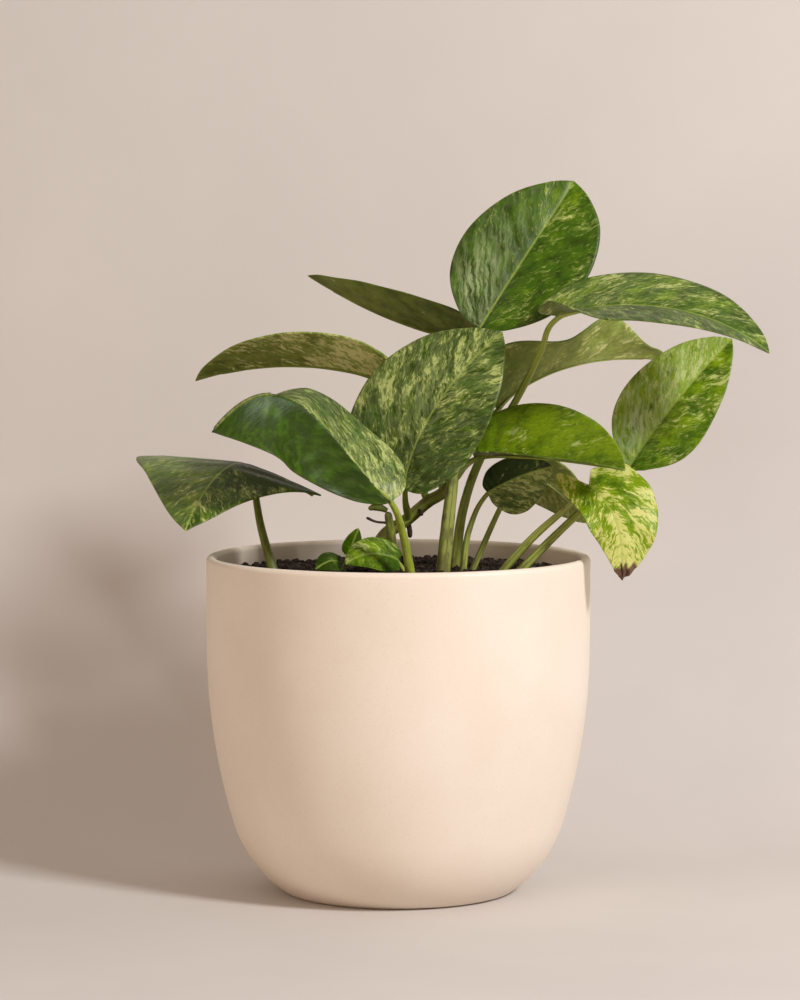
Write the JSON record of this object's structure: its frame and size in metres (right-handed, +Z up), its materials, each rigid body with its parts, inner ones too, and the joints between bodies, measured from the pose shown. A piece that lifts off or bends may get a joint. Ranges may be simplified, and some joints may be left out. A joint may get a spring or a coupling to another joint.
{
  "type": "potted pothos plant",
  "caption": "Young marbled pothos with broad pointed leaves on long petioles, rooted in dark soil in a smooth round-bottomed cream ceramic planter.",
  "frame": {"origin": "middle of the planter's flat foot, on the surface that it stands on", "axes": "+Z up along the planter's axis; -Y is the front, where the broad centre leaf faces; the longest leaf reaches towards +X"},
  "size_m": [0.2519, 0.1584, 0.2873],
  "materials": {
    "ceramic": "matte",
    "soil": "matte",
    "leaf": "satin",
    "petiole": "satin",
    "vine": "satin",
    "root": "matte"
  },
  "bodies": {
    "root": {"aerial_root": "root", "leaf_back_right": "leaf", "leaf_behind": "leaf", "leaf_bud": "vine", "leaf_centre": "leaf", "leaf_left": "leaf", "leaf_left_upper": "leaf", "leaf_low_left": "leaf", "leaf_right": "leaf", "leaf_right_centre": "leaf", "leaf_small_folded": "leaf", "leaf_soil_left": "leaf", "leaf_soil_rolled": "leaf", "leaf_soil_round": "leaf", "leaf_top": "leaf", "leaf_upper_left_back": "leaf", "leaf_upper_right": "leaf", "leaf_yellow": "leaf", "petiole_back_right": "petiole", "petiole_behind": "petiole", "petiole_centre": "petiole", "petiole_left": "petiole", "petiole_left_upper": "petiole", "petiole_low_left": "petiole", "petiole_right": "petiole", "petiole_right_centre": "petiole", "petiole_small_folded": "petiole", "petiole_soil_left": "petiole", "petiole_soil_rolled": "petiole", "petiole_soil_round": "petiole", "petiole_top": "petiole", "petiole_upper_left_back": "petiole", "petiole_upper_right": "petiole", "petiole_yellow": "petiole", "planter": "ceramic", "potting_soil": "soil", "root_nub_lower": "root", "root_nub_upper": "root", "vine_diagonal": "vine", "vine_pale": "vine", "vine_upright": "vine"}
  },
  "joints": []
}
